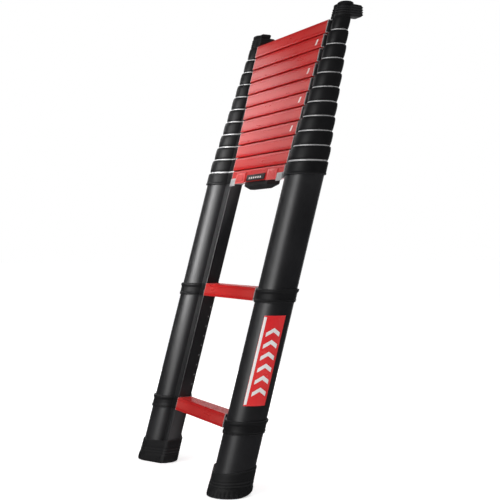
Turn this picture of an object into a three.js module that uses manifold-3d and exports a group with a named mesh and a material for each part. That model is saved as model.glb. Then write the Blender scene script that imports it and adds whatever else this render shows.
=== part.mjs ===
// Telescoping ladder, closed, leaning at its working angle.
// Units are millimetres, +Z is up, +X runs along the rungs and +Y points towards the wall.
// Every piece is drawn in an upright frame and then sheared back by the lean, so that collars
// and treads stay level while the stiles slope.

import * as THREE from 'three';
import { mergeVertices } from 'three/addons/utils/BufferGeometryUtils.js';
import Module from 'manifold-3d';

const wasm = await Module();
wasm.setup();

// Overall layout
const LEAN = THREE.MathUtils.degToRad(15);
const RUNG_PITCH = 290;            // between open rungs, measured along the stile
const CLOSED_PITCH = 34.2;         // between stacked rungs, measured along the stile
const FIRST_RUNG_HEIGHT = 145.5;
const FIXED_RUNGS = 3;
const TOTAL_RUNGS = 13;
const HALF_SPACING = 219;          // from the middle of the ladder to each stile's arc centre
const GAP = 0.3;                   // clearance between separate pieces

// Stile section: a round tube with a flat-nosed rail along its inner side
const TUBE_RADIUS = 43.5;
const NOSE_REACH = 72;             // from the arc centre to the rail's nose
const RAIL_FRONT = 13;             // the rail's faces, before and behind the arc centre
const RAIL_BACK = 19;
const WAIST = 4;                   // the hollow between the round side and the rail's front
const RADIUS_STEP = 2.75;          // how much smaller each section is than the one below
const REACH_STEP = 4.2;
const RAIL_STEP = 1.3;
const ARC_STEPS = 12;
const WALL = 1;
const TUBE_HANG = 333;             // from a collar's middle down to its tube's lower end
const BARE_END = 3.6;              // bare tube end that shows above a collar

// Collars and rungs
const COLLAR_HALF = 14.5;
const COLLAR_PROUD = 4;
const COLLAR_FRONT = 14.4;         // the collar's socket, before and behind the arc centre
const COLLAR_BACK = 21.5;
const COLLAR_STEP = 0.65;          // how much slimmer each socket is than the one below
const RUNG_HALF = 14.35;
const RUNG_FRONT = -16.5;
const RUNG_BACK = 26;
const RUNG_WALL = 1.8;
const RUNG_FRONT_CORNER = 2.5;
const RUNG_BACK_CORNER = 9;
const GROOVES = 3;
const GROOVE_WIDTH = 2;
const GROOVE_DEPTH = 0.8;
const SPIGOT_LENGTH = 25;

// Feet and wall caps
const FOOT_HEIGHT = 51.5;
const SOLE_THICKNESS = 13;
const SOLE_EDGE = 18;
const SOLE_FLARE = 5.5;
const FOOT_PROUD = 2.6;
const FOOT_FRONT = 16;             // the boot is fuller than the rail it encloses
const FOOT_BACK = 24;
const CAP_TOP = 1087;
const CAP_PROUD = 2.6;
const CAP_ROOF = 8;
const CAP_FRONT = 12;
const PAD_FACE = 326;              // the vertical wall face, from the stile axis at the floor
const PAD_BOTTOM = 1052;
const PAD_TOP = 1079;
const ARM_HALF_WIDTH = 17;

// Release latch on the third rung
const LATCH_FACE = 2.4;
const PLATE_HALF_WIDTH = 50;
const GRIP_HALF_LENGTH = 62;
const GRIP_DROP = 35;              // from the rung's middle down to the grip's underside
const GRIP_FRONT = -13;
const GRIP_BACK = 20;
const GRIP_CHAMFER = 9;
const SLIDE_INNER = 61.5;
const SLIDE_OUTER = 112;
const SLIDE_TRAVEL = 10;
const PIN_RADIUS = 2.5;
const PIN_HOLE_RADIUS = 2.8;
const PIN_DROP = 1.5;              // the pins lie this far below the rung's middle
const SHANK_INNER = 86;
const SHANK_OUTER = 94;

const RUNG_RISE = RUNG_PITCH * Math.cos(LEAN);
const CLOSED_RISE = CLOSED_PITCH * Math.cos(LEAN);
const LAST_FIXED_HEIGHT = FIRST_RUNG_HEIGHT + (FIXED_RUNGS - 1) * RUNG_RISE;
const TOP_HEIGHT = LAST_FIXED_HEIGHT + (TOTAL_RUNGS - FIXED_RUNGS) * CLOSED_RISE;
const DEPTH_CENTRE = (PAD_FACE - TUBE_RADIUS - SOLE_FLARE) / 2;
const PIN_DEPTH = 2.75;            // the pins lie this far behind the arc centres

const black = (roughness) => new THREE.MeshStandardMaterial({ color: 0x1a1a1c, roughness, metalness: 0.1 });
const TUBE_PAINT = new THREE.MeshStandardMaterial({ color: 0x1d1d20, roughness: 0.35, metalness: 0.6 });
const COLLAR_PLASTIC = black(0.45);
const RUBBER = black(0.8);
const LATCH_PLASTIC = black(0.5);
const RUNG_RED = new THREE.MeshStandardMaterial({ color: 0xb81f22, roughness: 0.4, metalness: 0.3 });
const SLIDE_RED = new THREE.MeshStandardMaterial({ color: 0xc8202a, roughness: 0.35, metalness: 0 });
const LABEL_RED = new THREE.MeshStandardMaterial({ color: 0xe43737, roughness: 0.25, metalness: 0 });
const BARE_METAL = new THREE.MeshStandardMaterial({ color: 0xc4c6c8, roughness: 0.35, metalness: 0.9 });

const LEAN_SHEAR = new THREE.Matrix4().makeShear(0, 0, 0, 0, 0, Math.tan(LEAN));
const YZ_PROFILE_TO_X = new THREE.Matrix4().set(0, 0, 1, 0, 1, 0, 0, 0, 0, 1, 0, 0, 0, 0, 0, 1);

const ladder = new THREE.Group();
ladder.position.y = -DEPTH_CENTRE;

// Solid helpers

function merged(geometry) {
  const copy = geometry.clone();
  copy.deleteAttribute('normal');
  copy.deleteAttribute('uv');
  return mergeVertices(copy, 1e-4);
}

function toSolid(geometry) {
  const source = merged(geometry);
  const vertProperties = new Float32Array(source.attributes.position.array);
  const triVerts = new Uint32Array(source.index.array);
  return new wasm.Manifold(new wasm.Mesh({ numProp: 3, vertProperties, triVerts }));
}

function toGeometry(solid) {
  const mesh = solid.getMesh();
  const geometry = new THREE.BufferGeometry();
  geometry.setAttribute('position', new THREE.BufferAttribute(mesh.vertProperties, 3));
  geometry.setIndex(new THREE.BufferAttribute(mesh.triVerts, 1));
  return geometry;
}

const join = (first, ...others) =>
  toGeometry(others.reduce((sum, other) => sum.add(toSolid(other)), toSolid(first)));

const cut = (body, ...tools) =>
  toGeometry(tools.reduce((rest, tool) => rest.subtract(toSolid(tool)), toSolid(body)));

function mirrored(geometry) {
  const copy = merged(geometry);
  copy.scale(-1, 1, 1);
  const index = copy.index.array;
  for (let corner = 0; corner < index.length; corner += 3) {
    const first = index[corner];
    index[corner] = index[corner + 1];
    index[corner + 1] = first;
  }
  return copy;
}

function addPiece(name, geometry, material) {
  const leaning = merged(geometry).applyMatrix4(LEAN_SHEAR);
  leaning.computeVertexNormals();
  const mesh = new THREE.Mesh(leaning, material);
  mesh.name = name;
  ladder.add(mesh);
}

function addPair(name, rightGeometry, material) {
  addPiece(`${name}_right`, rightGeometry, material);
  addPiece(`${name}_left`, mirrored(rightGeometry), material);
}

// Shape helpers

function box(x0, x1, y0, y1, z0, z1) {
  const geometry = new THREE.BoxGeometry(x1 - x0, y1 - y0, z1 - z0);
  return geometry.translate((x0 + x1) / 2, (y0 + y1) / 2, (z0 + z1) / 2);
}

function rodAlongX(radius, x0, x1, y, z) {
  const rod = new THREE.CylinderGeometry(radius, radius, x1 - x0, 12);
  return rod.rotateZ(Math.PI / 2).translate((x0 + x1) / 2, y, z);
}

function extrudeAlongX(shape, x0, x1) {
  const geometry = new THREE.ExtrudeGeometry(shape, { depth: x1 - x0, bevelEnabled: false, curveSegments: 2 });
  return geometry.applyMatrix4(YZ_PROFILE_TO_X).translate(x0, 0, 0);
}

function roundedProfile(y0, y1, z0, z1, frontCorner, backCorner) {
  const shape = new THREE.Shape();
  shape.absarc(y1 - backCorner, z0 + backCorner, backCorner, -Math.PI / 2, 0, false);
  shape.absarc(y1 - backCorner, z1 - backCorner, backCorner, 0, Math.PI / 2, false);
  shape.absarc(y0 + frontCorner, z1 - frontCorner, frontCorner, Math.PI / 2, Math.PI, false);
  shape.absarc(y0 + frontCorner, z0 + frontCorner, frontCorner, Math.PI, Math.PI * 1.5, false);
  return shape;
}

// The measures of one tube: section 0 is the base tube and section 10 the top one.
const tubeSection = (section, offset = 0) => ({
  radius: TUBE_RADIUS - RADIUS_STEP * section + offset,
  reach: NOSE_REACH - REACH_STEP * section + offset,
  front: RAIL_FRONT - RAIL_STEP * section + offset,
  back: RAIL_BACK - RAIL_STEP * section + offset,
});

// The measures round a collar, whose flat nose stays in one plane for the rung to butt against.
const collarSection = (section, proud) => ({
  radius: TUBE_RADIUS - RADIUS_STEP * section + proud,
  reach: NOSE_REACH - REACH_STEP * section + COLLAR_PROUD,
  front: COLLAR_FRONT - COLLAR_STEP * section,
  back: COLLAR_BACK - COLLAR_STEP * section,
});

// Where the flat side that runs to one corner of the nose leaves the round side.
function tangentAngle(radius, reach, corner) {
  return Math.atan2(corner, reach) + Math.acos(radius / Math.hypot(corner, reach));
}

// The right-hand stile's outline: the round side, the waist, then the nose's two corners.
// A taut outline bridges the waist.
function stileOutline({ radius, reach, front, back, taut }) {
  const start = tangentAngle(radius, reach, back);
  const turn = taut ? tangentAngle(radius, reach, front) : Math.asin((front + WAIST) / radius);
  const end = Math.PI * 2 - turn;
  const points = [];
  for (let step = 0; step <= ARC_STEPS; step += 1) {
    const angle = start + ((end - start) * step) / ARC_STEPS;
    points.push([radius * Math.cos(angle), radius * Math.sin(angle)]);
  }
  if (!taut) {
    points.push([radius * Math.cos(end) + WAIST, -front - WAIST / 10]);
  }
  points.push([reach, -front]);
  points.push([reach, back]);
  return points.map(([inward, depth]) => new THREE.Vector2(HALF_SPACING - inward, depth));
}

// A solid with one stile outline.
function stilePrism(measures, z0, z1) {
  const shape = new THREE.Shape(stileOutline(measures));
  return new THREE.ExtrudeGeometry(shape, { depth: z1 - z0, bevelEnabled: false }).translate(0, 0, z0);
}

// A ring whose closed profile of [measures, height] points runs once round the stile's outline.
function stileSleeve(profile) {
  const sides = stileOutline(profile[0][0]).length;
  const loop = [...profile, profile[0]].reverse();
  const path = loop.map(([{ radius }, height]) => new THREE.Vector2(radius, height));
  const geometry = new THREE.LatheGeometry(path, sides);
  const position = geometry.attributes.position;
  for (let vertex = 0; vertex < position.count; vertex += 1) {
    const [measures, height] = loop[vertex % loop.length];
    const side = Math.floor(vertex / loop.length) % sides;
    const corner = stileOutline(measures)[side];
    position.setXYZ(vertex, corner.x, corner.y, height);
  }
  return geometry;
}

const noseFlat = (section) => HALF_SPACING - (NOSE_REACH - REACH_STEP * section);
const sectionOf = (rung) => Math.max(0, rung - FIXED_RUNGS);
const closedHeight = (rung) =>
  rung <= FIXED_RUNGS
    ? FIRST_RUNG_HEIGHT + (rung - 1) * RUNG_RISE
    : LAST_FIXED_HEIGHT + (rung - FIXED_RUNGS) * CLOSED_RISE;
const twoDigits = (number) => String(number).padStart(2, '0');

// Rungs

function rungProfile() {
  const outer = roundedProfile(RUNG_FRONT, RUNG_BACK, -RUNG_HALF, RUNG_HALF, RUNG_FRONT_CORNER, RUNG_BACK_CORNER);
  const inner = roundedProfile(
    RUNG_FRONT + RUNG_WALL,
    RUNG_BACK - RUNG_WALL,
    -RUNG_HALF + RUNG_WALL,
    RUNG_HALF - RUNG_WALL,
    RUNG_FRONT_CORNER - 1,
    RUNG_BACK_CORNER - RUNG_WALL,
  );
  outer.holes.push(inner);
  return outer;
}

function treadGrooves(halfLength, height) {
  const spacing = (RUNG_BACK - RUNG_BACK_CORNER - RUNG_FRONT) / (GROOVES + 1);
  const grooves = [];
  for (let groove = 1; groove <= GROOVES; groove += 1) {
    const middle = RUNG_FRONT + spacing * groove;
    const top = height + RUNG_HALF;
    grooves.push(box(
      -halfLength,
      halfLength,
      middle - GROOVE_WIDTH / 2,
      middle + GROOVE_WIDTH / 2,
      top - GROOVE_DEPTH,
      top + 1,
    ));
  }
  return grooves;
}

// A hollow rung that runs between the noses of its two collars.
function rungBody(rung) {
  const height = closedHeight(rung);
  const halfLength = noseFlat(sectionOf(rung)) - COLLAR_PROUD - GAP;
  const blank = extrudeAlongX(rungProfile(), -halfLength, halfLength).translate(0, 0, height);
  return cut(blank, ...treadGrooves(halfLength + 1, height));
}

// The block on a collar's nose that fills the end of the hollow rung.
function spigot(rung) {
  const inset = RUNG_WALL + GAP;
  const tight = roundedProfile(
    RUNG_FRONT + inset,
    RUNG_BACK - inset,
    -RUNG_HALF + inset,
    RUNG_HALF - inset,
    RUNG_FRONT_CORNER - 1,
    RUNG_BACK_CORNER - inset,
  );
  const root = noseFlat(sectionOf(rung));
  const inner = root - COLLAR_PROUD - SPIGOT_LENGTH;
  return extrudeAlongX(tight, inner, root - 1).translate(0, 0, closedHeight(rung));
}

// Fixed lower stiles

function baseTube() {
  const bottom = SOLE_THICKNESS + GAP;
  const top = LAST_FIXED_HEIGHT + COLLAR_HALF + BARE_END;
  const tube = stileSleeve([
    [tubeSection(0, -WALL), bottom],
    [tubeSection(0), bottom],
    [tubeSection(0), top],
    [tubeSection(0, -WALL), top],
  ]);
  return cut(tube, pinHole(LAST_FIXED_HEIGHT - PIN_DROP, 0));
}

function pinHole(height, section) {
  const flat = noseFlat(section);
  return rodAlongX(PIN_HOLE_RADIUS, flat - SPIGOT_LENGTH - 10, flat + 10, PIN_DEPTH, height);
}

// A collar round the base tube, from [proud, rise] points, with its rung spigot.
function baseCollar(rung, profile) {
  const height = closedHeight(rung);
  const bore = tubeSection(0, GAP);
  const ring = stileSleeve([
    [bore, height - COLLAR_HALF],
    ...profile.map(([proud, rise]) => [collarSection(0, proud), height + rise]),
    [bore, height + COLLAR_HALF],
  ]);
  const room = stilePrism(bore, height - 20, height + 20);
  return join(ring, cut(spigot(rung), room));
}

// A collar with raised rims and a hollow middle.
function clampCollar(rung) {
  return baseCollar(rung, [
    [3.2, -COLLAR_HALF],
    [3.8, -12],
    [2.6, -10],
    [2.9, 8],
    [COLLAR_PROUD, 10],
    [COLLAR_PROUD, 13],
    [3, COLLAR_HALF],
  ]);
}

// The collar at the top of the base tube, bored for the lock pin.
function latchCollar() {
  const collar = baseCollar(FIXED_RUNGS, [
    [COLLAR_PROUD, -COLLAR_HALF],
    [COLLAR_PROUD, -11],
    [3.2, -10],
    [3.2, 12],
    [2.2, COLLAR_HALF],
  ]);
  return cut(collar, pinHole(LAST_FIXED_HEIGHT - PIN_DROP, 0));
}

// A cup that closes the tube's lower end and carries the sole.
function foot() {
  const full = { front: FOOT_FRONT, back: FOOT_BACK, taut: true };
  const sole = stilePrism({ ...tubeSection(0, SOLE_FLARE), ...full }, 0, SOLE_EDGE);
  const upper = stilePrism({ ...tubeSection(0, FOOT_PROUD), ...full }, SOLE_EDGE - 1, FOOT_HEIGHT);
  const room = stilePrism(tubeSection(0, GAP), SOLE_THICKNESS, FOOT_HEIGHT + 1);
  return cut(join(sole, upper), room);
}

// Moving sections

// One moving tube with its barrel-shaped collar, rung spigot and lock hole.
function movingStile(rung) {
  const height = closedHeight(rung);
  const section = sectionOf(rung);
  const isTop = rung === TOTAL_RUNGS;
  const top = isTop ? CAP_TOP - CAP_ROOF - GAP : height + COLLAR_HALF + BARE_END;
  const bottom = height - TUBE_HANG;
  const inside = tubeSection(section, -WALL);
  const outside = tubeSection(section);
  const sleeve = stileSleeve([
    [inside, bottom],
    [outside, bottom],
    [outside, height - COLLAR_HALF],
    [collarSection(section, 3), height - COLLAR_HALF],
    [collarSection(section, 3.8), height - 9],
    [collarSection(section, COLLAR_PROUD), height + 5],
    [collarSection(section, 3.4), height + COLLAR_HALF],
    [outside, height + COLLAR_HALF],
    [outside, top],
    [inside, top],
  ]);
  const room = stilePrism(tubeSection(section, -WALL / 2), height - 20, height + 20);
  const lockHeight = height - RUNG_RISE;
  return cut(join(sleeve, cut(spigot(rung), room)), pinHole(lockHeight, section));
}

// The end cap over the top tube, with the arm that reaches back to the wall.
function wallCap() {
  const section = sectionOf(TOTAL_RUNGS);
  const bottom = TOP_HEIGHT + COLLAR_HALF + GAP * 2;
  const lid = stilePrism({ ...collarSection(section, CAP_PROUD), front: CAP_FRONT }, bottom, CAP_TOP);
  const padReach = (height) => PAD_FACE - height * Math.tan(LEAN);
  const arm = new THREE.Shape([
    new THREE.Vector2(0, PAD_BOTTOM),
    new THREE.Vector2(padReach(PAD_BOTTOM), PAD_BOTTOM),
    new THREE.Vector2(padReach(PAD_TOP), PAD_TOP),
    new THREE.Vector2(0, CAP_TOP - 1),
  ]);
  const armSolid = extrudeAlongX(arm, HALF_SPACING - ARM_HALF_WIDTH, HALF_SPACING + ARM_HALF_WIDTH);
  const room = stilePrism(tubeSection(section, GAP), bottom - 1, CAP_TOP - CAP_ROOF);
  return cut(join(lid, armSolid), room);
}

// Release latch

const latchFront = RUNG_FRONT - GAP - LATCH_FACE;
const latchBack = RUNG_FRONT - GAP;
const pinHeight = LAST_FIXED_HEIGHT - PIN_DROP;

function latchPlate() {
  return box(
    -PLATE_HALF_WIDTH,
    PLATE_HALF_WIDTH,
    latchFront,
    latchBack,
    LAST_FIXED_HEIGHT - 14.2,
    LAST_FIXED_HEIGHT + 0.7,
  );
}

// A carrying grip slung under the rung, chamfered along its lower edges and at its ends.
function carryGrip() {
  const top = LAST_FIXED_HEIGHT - RUNG_HALF - GAP;
  const bottom = LAST_FIXED_HEIGHT - GRIP_DROP;
  const profile = new THREE.Shape([
    new THREE.Vector2(GRIP_FRONT, top),
    new THREE.Vector2(GRIP_FRONT, bottom + GRIP_CHAMFER),
    new THREE.Vector2(GRIP_FRONT + GRIP_CHAMFER, bottom),
    new THREE.Vector2(GRIP_BACK - GRIP_CHAMFER, bottom),
    new THREE.Vector2(GRIP_BACK, bottom + GRIP_CHAMFER),
    new THREE.Vector2(GRIP_BACK, top),
  ]);
  const bar = extrudeAlongX(profile, -GRIP_HALF_LENGTH, GRIP_HALF_LENGTH);
  const corner = new THREE.Shape([
    new THREE.Vector2(GRIP_HALF_LENGTH - 2 * GRIP_CHAMFER, bottom),
    new THREE.Vector2(GRIP_HALF_LENGTH + GRIP_CHAMFER, bottom - 1),
    new THREE.Vector2(GRIP_HALF_LENGTH, bottom + GRIP_CHAMFER),
  ]);
  const wedge = new THREE.ExtrudeGeometry(corner, { depth: 40, bevelEnabled: false });
  wedge.rotateX(Math.PI / 2).translate(0, GRIP_BACK + 4, 0);
  return cut(bar, wedge, mirrored(wedge));
}

// A thumb slide: ridged pad on the rung's face and a shank through the rung's slot.
function releaseSlide() {
  const low = LAST_FIXED_HEIGHT - 17.5;
  const high = LAST_FIXED_HEIGHT + 8.5;
  const pad = box(SLIDE_INNER, SLIDE_OUTER, latchFront, latchBack, low, high);
  const ridges = [0, 1, 2, 3, 4].map((ridge) => {
    const left = SLIDE_INNER + 10 + ridge * 7;
    return box(left, left + 3, latchFront - 1.4, latchFront + 1, low + 4, high - 4);
  });
  const shank = box(SHANK_INNER, SHANK_OUTER, latchBack - 1, PIN_DEPTH + 5, pinHeight - 4, pinHeight + 4);
  return join(pad, shank, ...ridges);
}

function slottedRung() {
  const slot = box(
    SHANK_INNER - SLIDE_TRAVEL - 1,
    SHANK_OUTER + 1,
    RUNG_FRONT - 1,
    RUNG_FRONT + RUNG_WALL + 1,
    pinHeight - 5,
    pinHeight + 5,
  );
  return cut(rungBody(FIXED_RUNGS), slot, mirrored(slot));
}

function lockPin() {
  const tip = noseFlat(1) - GAP;
  return rodAlongX(PIN_RADIUS, SHANK_OUTER + GAP, tip, PIN_DEPTH, pinHeight);
}

class Helix extends THREE.Curve {
  constructor(radius, turns, x0, x1) {
    super();
    Object.assign(this, { radius, turns, x0, x1 });
  }

  getPoint(share, target = new THREE.Vector3()) {
    const angle = share * this.turns * 2 * Math.PI;
    return target.set(
      this.x0 + (this.x1 - this.x0) * share,
      PIN_DEPTH + this.radius * Math.cos(angle),
      pinHeight + this.radius * Math.sin(angle),
    );
  }
}

function returnSpring() {
  const wireRadius = 0.6;
  const wire = new THREE.Shape();
  wire.absarc(0, 0, wireRadius, 0, Math.PI * 2, false);
  const end = noseFlat(0) - COLLAR_PROUD - SPIGOT_LENGTH - 1;
  const path = new Helix(5.4, 4, SHANK_OUTER + 1, end);
  return new THREE.ExtrudeGeometry(wire, { steps: 36, extrudePath: path, curveSegments: 3 });
}

// An angle bracket: a plate on the rung's face and a lip folded under the rung.
function endBracket() {
  const inner = SLIDE_OUTER + 1.5;
  const outer = noseFlat(0) - COLLAR_PROUD - 1;
  const low = LAST_FIXED_HEIGHT - 22;
  const under = LAST_FIXED_HEIGHT - RUNG_HALF - GAP;
  const plate = box(inner, outer, latchBack - 1.6, latchBack, low, LAST_FIXED_HEIGHT - 3);
  const lip = box(inner, outer, latchBack - 1, PIN_DEPTH + 8, under - 1.6, under);
  return join(plate, lip);
}

// Self-adhesive panel on the right-hand base tube.
function labelPanel() {
  const low = 193;
  const high = 384;
  const [from, to] = [-47, 18].map(THREE.MathUtils.degToRad);
  const shape = new THREE.Shape();
  shape.absarc(HALF_SPACING, 0, TUBE_RADIUS + 0.7, from, to, false);
  shape.absarc(HALF_SPACING, 0, TUBE_RADIUS + GAP, to, from, true);
  return new THREE.ExtrudeGeometry(shape, { depth: high - low, bevelEnabled: false, curveSegments: 8 })
    .translate(0, 0, low);
}

// Assembly

addPair('base_tube', baseTube(), TUBE_PAINT);
addPair('foot', foot(), RUBBER);
for (let rung = 1; rung < FIXED_RUNGS; rung += 1) {
  addPiece(`rung_${twoDigits(rung)}`, rungBody(rung), RUNG_RED);
  addPair(`clamp_collar_${twoDigits(rung)}`, clampCollar(rung), COLLAR_PLASTIC);
}
addPiece(`rung_${twoDigits(FIXED_RUNGS)}`, slottedRung(), RUNG_RED);
addPair('latch_collar', latchCollar(), COLLAR_PLASTIC);
for (let rung = FIXED_RUNGS + 1; rung <= TOTAL_RUNGS; rung += 1) {
  addPair(`stile_${twoDigits(rung)}`, movingStile(rung), TUBE_PAINT);
  addPiece(`rung_${twoDigits(rung)}`, rungBody(rung), RUNG_RED);
}
addPair('wall_cap', wallCap(), RUBBER);
addPiece('latch_plate', latchPlate(), LATCH_PLASTIC);
addPiece('carry_grip', carryGrip(), LATCH_PLASTIC);
addPair('release_slide', releaseSlide(), SLIDE_RED);
addPair('lock_pin', lockPin(), BARE_METAL);
addPair('return_spring', returnSpring(), BARE_METAL);
addPair('end_bracket', endBracket(), BARE_METAL);
addPiece('label_panel', labelPanel(), LABEL_RED);

export default ladder;
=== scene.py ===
import math

import bmesh
import bpy
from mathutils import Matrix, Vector

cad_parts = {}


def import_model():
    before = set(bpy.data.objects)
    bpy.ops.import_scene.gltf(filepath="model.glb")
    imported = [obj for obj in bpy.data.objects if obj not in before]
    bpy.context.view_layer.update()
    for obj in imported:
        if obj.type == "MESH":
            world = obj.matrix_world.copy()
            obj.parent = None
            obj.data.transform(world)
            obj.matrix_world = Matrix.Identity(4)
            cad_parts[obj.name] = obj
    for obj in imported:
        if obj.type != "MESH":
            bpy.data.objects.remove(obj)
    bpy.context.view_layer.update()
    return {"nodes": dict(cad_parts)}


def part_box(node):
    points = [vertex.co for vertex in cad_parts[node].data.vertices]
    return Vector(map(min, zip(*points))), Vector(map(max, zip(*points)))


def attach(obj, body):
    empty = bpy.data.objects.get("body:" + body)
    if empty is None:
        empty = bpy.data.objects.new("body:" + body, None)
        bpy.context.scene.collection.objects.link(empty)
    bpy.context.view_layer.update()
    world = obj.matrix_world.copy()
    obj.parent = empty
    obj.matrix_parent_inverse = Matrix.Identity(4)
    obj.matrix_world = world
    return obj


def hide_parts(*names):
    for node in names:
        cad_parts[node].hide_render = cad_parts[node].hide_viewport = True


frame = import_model()

# Sizes in metres. Every piece is drawn upright and then sheared back by the lean.
MM = 0.001
LEAN = math.radians(15)
SLOPE = math.tan(LEAN)
SIDES = {"right": 1, "left": -1}
FIXED_RUNGS = 3
TOTAL_RUNGS = 13
MARKED_RUNGS = (6, 8, 10, 12)
GAP = 0.0003
HAIR_GAP = 0.0001

# Stile: round side, flat-nosed rail towards the middle; each section is a step smaller
HALF_SPACING = 0.219
TUBE_RADIUS = 0.0435
NOSE_REACH = 0.072
NOSE_CORNER = 0.0012
RAIL_FRONT = 0.013
RAIL_BACK = 0.019
RADIUS_STEP = 0.00275
REACH_STEP = 0.0042
RAIL_STEP = 0.0013
WALL = 0.001
TUBE_EDGE = 0.0004
BEAD_LIFT = 0.0007
BARE_END = 0.0072

# Collar
COLLAR_PROUD = 0.004
COLLAR_FRONT = 0.0144
COLLAR_BACK = 0.0215
COLLAR_STEP = 0.00065
COLLAR_LIP = 0.0142
COLLAR_LIP_INSET = 0.0006
SPIGOT_LENGTH = 0.025
SPIGOT_HALF = 0.0117
SPIGOT_INSET = 0.0025

# Rung
RUNG_FRONT = -0.0165
RUNG_BACK = 0.026
RUNG_HALF = 0.0153
RUNG_WALL = 0.0018
RUNG_BACK_ROUND = 0.009
RUNG_FRONT_ROUND = 0.0022
GROOVES = 7
GROOVE_DEPTH = 0.0009
GROOVE_WIDTH = 0.0026
FRONT_LINES = (0.0078, -0.0086)
FRONT_LINE_DEPTH = 0.0004
PALE_END_LENGTH = 0.0012
MARK_FROM_END = 0.027
MARK_HALF_WIDTH = 0.0035
MARK_HALF_HEIGHT = 0.0065
MARK_SLANT = 0.005

# Foot
BOOT_FRONT = 0.016
BOOT_BACK = 0.024
BOOT_CORNER = 0.012
BOOT_BORE_FLOOR = 0.0131
SOLE_CORNER = 0.017
SOLE_PROUD = 0.0046
TOOTH_DEPTH = 0.0016
RIM_RISE = 0.004
RIM_TILT = 0.005
HEEL_LIFT = 0.008
HEEL_HEIGHT = 0.02

# Wall cap
CAP_FRONT = 0.012
CAP_TOP = 1.087
CAP_RIBS = 4
CAP_RIB_PITCH = 0.0052
PAD_FACE = 0.326
PAD_BOTTOM = 1.052
PAD_TOP = 1.079
PAD_RIB_PITCH = 0.0055
PAD_RIB_HEIGHT = 0.0034
ARM_HALF_WIDTH = 0.017

DEPTH_CENTRE = PAD_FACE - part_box("wall_cap_right")[1].y


def rung_height(rung):
    low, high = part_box(f"rung_{rung:02d}")
    return (low.z + high.z) / 2


HEIGHTS = {rung: rung_height(rung) for rung in range(1, TOTAL_RUNGS + 1)}
LATCH_HEIGHT = HEIGHTS[FIXED_RUNGS]


def section_of(rung):
    return max(0, rung - FIXED_RUNGS)


def body_of_rung(rung):
    return "base" if rung <= FIXED_RUNGS else f"section_{rung:02d}"


def lean(point):
    return (point[0], point[1] + point[2] * SLOPE - DEPTH_CENTRE, point[2])


# Mesh helpers


def make_object(name, points, faces, material, sharp=32):
    mesh = bpy.data.meshes.new(name)
    mesh.from_pydata([lean(point) for point in points], [], faces)
    shape = bmesh.new()
    shape.from_mesh(mesh)
    bmesh.ops.remove_doubles(shape, verts=shape.verts, dist=1e-6)
    bmesh.ops.recalc_face_normals(shape, faces=shape.faces)
    for face in shape.faces:
        face.smooth = True
    shape.to_mesh(mesh)
    shape.free()
    mesh.set_sharp_from_angle(angle=math.radians(sharp))
    mesh.materials.append(material)
    made = bpy.data.objects.new(name, mesh)
    bpy.context.scene.collection.objects.link(made)
    return made


def place(piece, body, slot, *nodes):
    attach(piece, body)
    if nodes:
        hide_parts(*nodes)


class Build:
    """Collects several closed shells into one mesh."""

    def __init__(self):
        self.points = []
        self.faces = []

    def add(self, points, faces):
        start = len(self.points)
        self.points += points
        self.faces += [[start + corner for corner in face] for face in faces]
        return self

    def block(self, x, y, z, bevel=0.0006, segments=2, taper=None):
        """A bevelled block between the (low, high) pairs x, y and z; taper moves its corners."""
        shape = bmesh.new()
        bmesh.ops.create_cube(shape, size=1)
        for vert in shape.verts:
            share = [coordinate + 0.5 for coordinate in vert.co]
            corner = [low + (high - low) * part for (low, high), part in zip((x, y, z), share)]
            vert.co = Vector(taper(corner, share) if taper else corner)
        bmesh.ops.bevel(
            shape,
            geom=list(shape.edges),
            offset=bevel,
            segments=segments,
            profile=0.5,
            affect="EDGES",
        )
        shape.verts.index_update()
        points = [tuple(vert.co) for vert in shape.verts]
        faces = [[vert.index for vert in face.verts] for face in shape.faces]
        shape.free()
        return self.add(points, faces)

    def ring(self, rows):
        """A shell from closed rows of points: each row joins the next, and the last the first."""
        width = len(rows[0])
        count = len(rows)
        points = [point for row in rows for point in row]
        faces = []
        for row in range(count):
            for step in range(width):
                here = row * width + step
                side = row * width + (step + 1) % width
                above = ((row + 1) % count) * width + step
                corner = ((row + 1) % count) * width + (step + 1) % width
                faces.append([here, side, corner, above])
        return self.add(points, faces)

    def capped(self, rows):
        """A shell from rows of points with a cap on the first and last row."""
        width = len(rows[0])
        points = [point for row in rows for point in row]
        faces = [list(range(width))[::-1]]
        for row in range(len(rows) - 1):
            for step in range(width):
                here = row * width + step
                side = row * width + (step + 1) % width
                faces.append([here, side, side + width, here + width])
        last = (len(rows) - 1) * width
        faces.append(list(range(last, last + width)))
        return self.add(points, faces)

    def make(self, name, material, sharp=32):
        return make_object(name, self.points, self.faces, material, sharp)


# Stile section


def tube_section(section, offset=0.0):
    """(radius, nose reach, rail front, rail back) of one tube; section 0 is the base tube."""
    return (
        TUBE_RADIUS - RADIUS_STEP * section + offset,
        NOSE_REACH - REACH_STEP * section + offset,
        RAIL_FRONT - RAIL_STEP * section + offset,
        RAIL_BACK - RAIL_STEP * section + offset,
    )


def collar_section(section, proud, inset=0.0):
    """The same measures round a collar, whose nose and rail faces stay flat."""
    return (
        TUBE_RADIUS - RADIUS_STEP * section + proud,
        NOSE_REACH - REACH_STEP * section + COLLAR_PROUD - inset,
        COLLAR_FRONT - COLLAR_STEP * section - inset,
        COLLAR_BACK - COLLAR_STEP * section - inset,
    )


ARC_STEPS = 56
CORNER_STEPS = 4

# The bead and groove along the rail's front: (distance from the nose in millimetres, share of the lift)
BEAD = (
    (7.8, 0), (7.0, 0), (6.0, -0.35), (5.0, -0.5), (4.0, -0.35),
    (3.2, 0.3), (2.6, 0.85), (1.6, 1.0), (0.6, 0.95),
)
BEAD_AT_CORNER = 0.7


def tangent_angle(radius, reach, corner):
    """Where the flat that runs to one corner of the nose leaves the round side."""
    return math.atan2(corner, reach) + math.acos(radius / math.hypot(corner, reach))


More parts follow.
